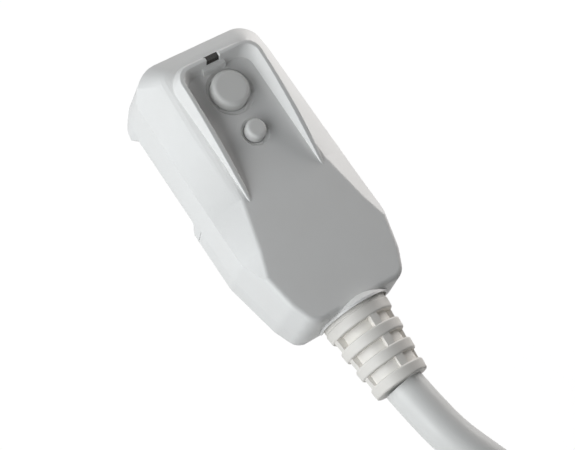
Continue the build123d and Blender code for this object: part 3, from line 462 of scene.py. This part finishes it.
PLASTICS = (
    PlasticSpec("ivory_plastic", "#E9E9E8", "#E4E3E1", 0.46, Grain.FINE, 0.024),
    PlasticSpec("button_plastic", "#E3E3E1", "#DCDCDA", 0.38, Grain.SMOOTH, 0.006),
    PlasticSpec("boot_vinyl", "#ECE9E4", "#E7E3DB", 0.5, Grain.SATIN, 0.01, 0.05),
    PlasticSpec("cord_vinyl", "#ECECEA", "#E6E6E4", 0.4, Grain.SMOOTH, 0.008, 0.04),
    PlasticSpec("green_board", "#1F5A36", "#174A2B", 0.42, Grain.SATIN, 0.02),
    PlasticSpec("black_plastic", "#232426", "#1A1B1D", 0.55, Grain.SATIN, 0.02),
    PlasticSpec("white_nylon", "#E2DED0", "#D8D3C2", 0.45, Grain.SATIN, 0.01),
    PlasticSpec("face_nylon", "#D9D6CE", "#CFCBC1", 0.45, Grain.SATIN, 0.012),
    PlasticSpec("coil_tape", "#C9A227", "#B98F1D", 0.35, Grain.SMOOTH, 0.03),
    PlasticSpec("capacitor_red", "#8E3B24", "#7B2F1B", 0.25, Grain.SMOOTH, 0.03),
    PlasticSpec("varistor_blue", "#27548F", "#1F477C", 0.25, Grain.SMOOTH, 0.03),
    PlasticSpec("resistor_tan", "#C6AA7C", "#B89A6A", 0.3, Grain.SMOOTH, 0.02),
    PlasticSpec("lamp_glass", "#7A1D14", "#5E130C", 0.12, Grain.SMOOTH, 0.004),
    PlasticSpec("black_vinyl", "#18191A", "#101112", 0.42, Grain.SMOOTH, 0.01),
    PlasticSpec("white_vinyl", "#E8E8E6", "#DEDEDB", 0.42, Grain.SMOOTH, 0.01),
    PlasticSpec("green_vinyl", "#1E7A3C", "#176731", 0.42, Grain.SMOOTH, 0.01),
)

METALS = (
    MetalSpec("plated_brass", "#D6CBAA", "#B9A97E", 0.3, (1.0, 1.0, 0.08)),
    MetalSpec("contact_brass", "#C9A45C", "#A9843E", 0.34, (1.0, 0.1, 1.0)),
    MetalSpec("spring_steel", "#9EA1A4", "#7E8184", 0.3, (1.0, 1.0, 1.0)),
    MetalSpec("zinc_steel", "#B4B8BA", "#9A9EA1", 0.36, (1.0, 0.15, 1.0)),
    MetalSpec("copper_wire", "#B4622D", "#964C1E", 0.3, (0.2, 1.0, 0.2)),
    MetalSpec("can_aluminium", "#B9BCC0", "#A3A7AC", 0.32, (1.0, 0.1, 1.0)),
)

DARK_LENS = LensSpec("dark_lens", "#14100B", "#0C0906", 0.34, 0.15, 0.12)
# Near-black between the yarns as painted shade, grey on their ridges as painted highlight.
TIE_FABRIC = WeaveSpec("tie_fabric", "#17181A", "#3A3B3E", 0.86, 0.35)


def ease(share: float) -> float:
    """Return a share eased in and out, held between 0 and 1."""
    share = min(max(share, 0.0), 1.0)
    return share * share * (3 - 2 * share)


def pick(piece: bpy.types.Object) -> None:
    """Make one object the only selected and active one.

    Args:
        piece: The object.
    """
    bpy.ops.object.select_all(action="DESELECT")
    piece.select_set(True)
    bpy.context.view_layer.objects.active = piece


def apply_modifiers(piece: bpy.types.Object) -> None:
    """Apply all of a mesh's modifiers.

    Args:
        piece: The mesh object.
    """
    pick(piece)
    for modifier in list(piece.modifiers):
        bpy.ops.object.modifier_apply(modifier=modifier.name)


def smooth(piece: bpy.types.Object, angle: float) -> None:
    """Shade a mesh smooth up to an angle, with its large faces kept even.

    Args:
        piece: The mesh object.
        angle: Sharpest smooth edge in degrees.
    """
    pick(piece)
    bpy.ops.object.shade_smooth_by_angle(angle=math.radians(angle))
    even = piece.modifiers.new("even_normals", "WEIGHTED_NORMAL")
    even.keep_sharp = True
    bpy.ops.object.modifier_apply(modifier=even.name)


class PartDresser:
    """Makes the materials and gives every CAD node and built piece its own."""

    def __init__(self) -> None:
        """Make the materials."""
        shop = MaterialShop()
        low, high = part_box("coil_tie")
        self.materials = {spec.name: shop.plastic(spec) for spec in PLASTICS}
        self.materials.update({spec.name: shop.metal(spec) for spec in METALS})
        self.materials[DARK_LENS.name] = shop.lens(DARK_LENS)
        self.materials[TIE_FABRIC.name] = shop.weave(TIE_FABRIC, (low + high) / 2)
        self.slots = {row["node"]: row["material_slot"] for row in frame["record"]["subparts"]}

    def dress_nodes(self) -> None:
        """Set each CAD node's material and shading."""
        for name, node in frame["nodes"].items():
            node.data.materials.clear()
            node.data.materials.append(self.materials[self.slots[name]])
            smooth(node, NODE_SMOOTH_ANGLE)
            log.info("%s: %s", name, self.slots[name])

    def finish_piece(self, piece: bpy.types.Object, body: str, slot: str) -> None:
        """Give a built piece its material, body and slot.

        Args:
            piece: The piece.
            body: The CAD body that it rides on.
            slot: The record's material slot.
        """
        piece.data.materials.append(self.materials[slot])
        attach(piece, body)
        log.info("%s: %s, on body %s", piece.name, slot, body)


@dataclass(frozen=True)
class FreeCord:
    """The cord past the strain relief, along the route that its CAD source has.

    Attributes:
        name: Piece name.
        radius: Half its thickness.
        run: Points from the strain relief to the coil.
        centre: The coil's centre in plan.
        inner: Coil radius at the middle of its length.
        pitch: Growth of the radius for each turn.
        turns: Number of turns.
        low: Height of the lower layer's middle.
        rise: Height between the layers.
        drop: How far the coil's end comes down.
        rise_turns: Turns that the way between the layers takes.
        drop_turns: Turns that the way down takes.
        lead: Straight length at the coil's end.
        steps: Points for each turn.
        order: Order of the spline.
        span_steps: Steps between two points of it.
        round_steps: Steps round a quarter of the cord, less one.
    """

    name: str = "free_cord"
    radius: float = 5.6 * MM
    run: tuple[Vector3, ...] = (
        (0.0, -0.05275, 0.0311), (0.0009, -0.05975, 0.0311), (0.0029, -0.07075, 0.031),
        (0.0073, -0.08105, 0.0306), (0.0122, -0.091, 0.0293), (0.0156, -0.104, 0.0255),
        (0.0169, -0.118, 0.0195), (0.01695, -0.132, 0.013), (0.01695, -0.145, 0.0082),
        (0.01695, -0.15705, 0.0065), (0.01695, -0.17105, 0.0065))
    centre: tuple[float, float] = (-0.0548, -0.18225)
    inner: float = 0.0452
    pitch: float = 0.0118
    turns: float = 4.5
    low: float = 0.0065
    rise: float = 0.0118
    drop: float = 0.001
    rise_turns: float = 0.5
    drop_turns: float = 0.25
    lead: float = 0.0112
    steps: int = 24
    order: int = 3
    span_steps: int = 6
    round_steps: int = 8

    def coil_point(self, turn: float) -> Vector:
        """A point of the coil's middle line.

        Args:
            turn: Turns from the middle of its length, negative before it.

        Returns:
            The point.
        """
        half = self.turns / 2
        angle = -2 * math.pi * (turn + half)
        climb = ease((turn + self.rise_turns / 2) / self.rise_turns)
        fall = ease((turn - half + self.drop_turns) / self.drop_turns)
        radius = self.inner + self.pitch * abs(turn)
        height = self.low + self.rise * climb - self.drop * fall
        return Vector((self.centre[0] + radius * math.cos(angle),
                       self.centre[1] + radius * math.sin(angle), height))

    def route(self) -> list[Vector]:
        """Control points of the whole free cord.

        Returns:
            The points, from the strain relief to the connector.
        """
        half = self.turns / 2
        count = round(self.turns * self.steps)
        points = [Vector(point) for point in self.run]
        points += [self.coil_point(-half + i / self.steps) for i in range(count + 1)]
        return points + [points[-1] + Vector((0, self.lead, 0))]

    def build(self) -> bpy.types.Object:
        """Make the cord as one smooth spline.

        Returns:
            The cord's curve object.
        """
        points = self.route()
        curve = bpy.data.curves.new(self.name, "CURVE")
        curve.dimensions = "3D"
        spline = curve.splines.new("NURBS")
        spline.points.add(len(points) - 1)
        for point, place in zip(spline.points, points):
            point.co = (*place, 1.0)
        spline.order_u = self.order
        spline.use_endpoint_u = True
        spline.resolution_u = self.span_steps
        curve.bevel_depth = self.radius
        curve.bevel_resolution = self.round_steps
        curve.use_fill_caps = True
        curve.resolution_u = self.span_steps
        cord = bpy.data.objects.new(self.name, curve)
        bpy.context.scene.collection.objects.link(cord)
        return cord

    def dress(self, cord: bpy.types.Object, dresser: PartDresser) -> None:
        """Give the cord its smooth vinyl, on the head's body."""
        dresser.finish_piece(cord, "head", "cord_vinyl")


@dataclass(frozen=True)
class CoilStrap:
    """The woven strap round the coil, inside its CAD solid's space.

    Attributes:
        name: Piece name.
        thick: Thickness of the weave.
        side: Side of the CAD solid's skin that it lies on, -1 for inside.
        corner: Radius of the loop's corners.
        corner_steps: Faces round each corner.
        soften: Radius of its long edges.
        soften_steps: Faces across each softened edge.
        soften_angle: Least angle of an edge that is softened, in degrees.
        smooth_angle: Sharpest smooth edge in degrees.
        facing: Least share of its normal along X that makes a face an end.
        across: Least length along X that makes an edge a corner.
    """

    name: str = "coil_strap"
    thick: float = 0.68 * MM
    side: float = -1.0
    corner: float = 4.8 * MM
    corner_steps: int = 7
    soften: float = 0.2 * MM
    soften_steps: int = 2
    soften_angle: float = 60.0
    smooth_angle: float = 40.0
    facing: float = 0.5
    across: float = 1.0 * MM

    def open_loop(self) -> bpy.types.Object:
        """Make a box of the CAD solid's size without its two ends.

        Returns:
            The loop, still with sharp corners.
        """
        low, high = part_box("coil_tie")
        bpy.ops.object.select_all(action="DESELECT")
        bpy.ops.mesh.primitive_cube_add(size=1.0, location=(low + high) / 2)
        loop = bpy.context.object
        loop.name = self.name
        loop.scale = high - low
        bpy.ops.object.transform_apply(location=True, rotation=False, scale=True)
        bpy.ops.object.mode_set(mode="EDIT")
        bpy.ops.mesh.select_mode(type="FACE")
        bpy.ops.object.mode_set(mode="OBJECT")
        for polygon in loop.data.polygons:
            polygon.select = abs(polygon.normal.x) > self.facing
        bpy.ops.object.mode_set(mode="EDIT")
        bpy.ops.mesh.delete(type="ONLY_FACE")
        bpy.ops.object.mode_set(mode="OBJECT")
        return loop

    def round_corners(self, loop: bpy.types.Object) -> None:
        """Round the four edges that run across the strap's width.

        Args:
            loop: The loop with sharp corners.
        """
        bpy.ops.object.mode_set(mode="EDIT")
        bpy.ops.mesh.select_mode(type="EDGE")
        bpy.ops.mesh.select_all(action="DESELECT")
        bpy.ops.object.mode_set(mode="OBJECT")
        for edge in loop.data.edges:
            first, second = (loop.data.vertices[i].co for i in edge.vertices)
            edge.select = abs(first.x - second.x) > self.across
        bpy.ops.object.mode_set(mode="EDIT")
        bpy.ops.mesh.bevel(offset=self.corner, segments=self.corner_steps, affect="EDGES")
        bpy.ops.object.mode_set(mode="OBJECT")

    def build(self) -> bpy.types.Object:
        """Make the strap.

        Returns:
            The strap's mesh object.
        """
        strap = self.open_loop()
        self.round_corners(strap)
        solid = strap.modifiers.new("thickness", "SOLIDIFY")
        solid.thickness = self.thick
        solid.offset = self.side
        edges = strap.modifiers.new("soft_edges", "BEVEL")
        edges.width = self.soften
        edges.segments = self.soften_steps
        edges.angle_limit = math.radians(self.soften_angle)
        apply_modifiers(strap)
        smooth(strap, self.smooth_angle)
        return strap

    def dress(self, strap: bpy.types.Object, dresser: PartDresser) -> None:
        """Give the strap its fabric, on the head's body."""
        dresser.finish_piece(strap, "head", "tie_fabric")


@dataclass(frozen=True)
class LampSpec:
    """A soft box.

    Attributes:
        name: Lamp name.
        place: Where it stands.
        size: Its width and height.
        power: Power in watts.
        colour: Linear colour.
    """

    name: str
    place: Vector3
    size: tuple[float, float]
    power: float
    colour: Vector3


@dataclass(frozen=True)
class Studio:
    """Camera, floor, surroundings and lamps.

    Attributes:
        sensor: Width of the camera's sensor in millimetres.
        lens: Focal length in millimetres.
        reach: Nearest and farthest distance that the camera sees.
        back: Direction from the object to the camera.
        up: Direction that is up in the picture.
        stand: The camera's place in the head's own drawing, in millimetres.
        floor_size: Side of the floor.
        floor_drop: Gap between the part and the floor.
        floor_grey: Grey that the floor lights the part with.
        glow_share: Share of plain white in the seen floor.
        glow_strength: Strength of that white.
        sky: Colour of the surroundings that light the part.
        sky_strength: Their strength.
        aim: Point that the lamps face.
        lamps: The lamps.
    """

    sensor: float = 36.0
    lens: float = 104.01
    reach: tuple[float, float] = (0.01, 20.0)
    back: Vector3 = (-0.42487, -0.23235, 0.87493)
    up: Vector3 = (0.42768, 0.80032, 0.42022)
    stand: Vector3 = (-188.88, -73.43, 396.82)
    floor_size: float = 8.0
    floor_drop: float = 0.0004
    floor_grey: float = 0.35
    glow_share: float = 0.8
    glow_strength: float = 1.22
    sky: Vector3 = (0.95, 0.97, 1.0)
    sky_strength: float = 0.075
    aim: Vector3 = (0.0, 0.0, 0.035)
    lamps: tuple[LampSpec, ...] = (
        LampSpec("key", (-0.29, 0.03, 0.145), (0.46, 0.2), 1.08, (0.955, 0.985, 1.0)),
        LampSpec("rim", (0.24, 0.095, 0.08), (0.22, 0.11), 0.53, (1.0, 0.98, 0.965)))

    def build_camera(self) -> None:
        """Put the camera at the photograph's place."""
        data = bpy.data.cameras.new("camera")
        data.sensor_width = self.sensor
        data.lens = self.lens
        data.clip_start, data.clip_end = self.reach
        camera = bpy.data.objects.new("camera", data)
        bpy.context.scene.collection.objects.link(camera)
        back = Vector(self.back).normalized()
        up = Vector(self.up)
        up = (up - back * up.dot(back)).normalized()
        right = up.cross(back)
        place = Vector(self.stand) * MM + HEAD_OFFSET
        camera.matrix_world = Matrix((
            (right.x, up.x, back.x, place.x), (right.y, up.y, back.y, place.y),
            (right.z, up.z, back.z, place.z), (0, 0, 0, 1)))
        bpy.context.scene.camera = camera

    def build_floor(self) -> None:
        """Lay a plain white floor that keeps a faint shadow."""
        bpy.ops.mesh.primitive_plane_add(size=self.floor_size, location=(0, 0, -self.floor_drop))
        floor = bpy.context.object
        floor.name = "floor"
        tree = NodeTree(bpy.data.materials.new("floor_white"))
        share = tree.join(Join.MULTIPLY, tree.seen(), self.glow_share)
        grey = (self.floor_grey,) * 3
        matte = tree.add("ShaderNodeBsdfDiffuse", {"Color": (*grey, 1.0)})
        glow = tree.add("ShaderNodeEmission", {"Color": WHITE, "Strength": self.glow_strength})
        mix = tree.mix_shaders(share, matte, glow)
        tree.add("ShaderNodeOutputMaterial", {"Surface": mix})
        floor.data.materials.append(tree.owner)

    def build_world(self) -> None:
        """Set soft surroundings that the camera sees as white."""
        world = bpy.data.worlds.new("studio")
        bpy.context.scene.world = world
        tree = NodeTree(world)
        lit = tree.add("ShaderNodeBackground",
                       {"Color": (*self.sky, 1.0), "Strength": self.sky_strength})
        white = tree.add("ShaderNodeBackground", {"Color": WHITE, "Strength": 1.0})
        mix = tree.mix_shaders(tree.seen(), lit, white)
        tree.add("ShaderNodeOutputWorld", {"Surface": mix})

    def add_lamp(self, spec: LampSpec) -> None:
        """Add a soft box that faces the head.

        Args:
            spec: The lamp.
        """
        data = bpy.data.lights.new(spec.name, "AREA")
        data.shape = "RECTANGLE"
        data.size, data.size_y = spec.size
        data.energy = spec.power
        data.color = spec.colour
        lamp = bpy.data.objects.new(spec.name, data)
        lamp.location = spec.place
        facing = Vector(self.aim) - Vector(spec.place)
        lamp.rotation_euler = facing.to_track_quat("-Z", "Y").to_euler()
        bpy.context.scene.collection.objects.link(lamp)

    def build(self) -> None:
        """Set up the whole studio."""
        self.build_camera()
        self.build_floor()
        self.build_world()
        for spec in self.lamps:
            self.add_lamp(spec)
        bpy.context.scene.view_settings.view_transform = "Standard"
        log.info("studio: camera, floor, surroundings and %d lamps", len(self.lamps))


def write_sizes() -> None:
    """Log a closing line; no box is measured or written.
    """
    log.info("sizes written")


def main() -> None:
    """Dress the part, build the cord and its strap and set up the studio."""
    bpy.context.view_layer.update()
    dresser = PartDresser()
    dresser.dress_nodes()
    plan = FreeCord()
    cord = plan.build()
    plan.dress(cord, dresser)
    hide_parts("cord_run", "cord_coil")
    tie = CoilStrap()
    strap = tie.build()
    tie.dress(strap, dresser)
    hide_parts("coil_tie")
    Studio().build()
    write_sizes()


if __name__ == "__main__":
    main()
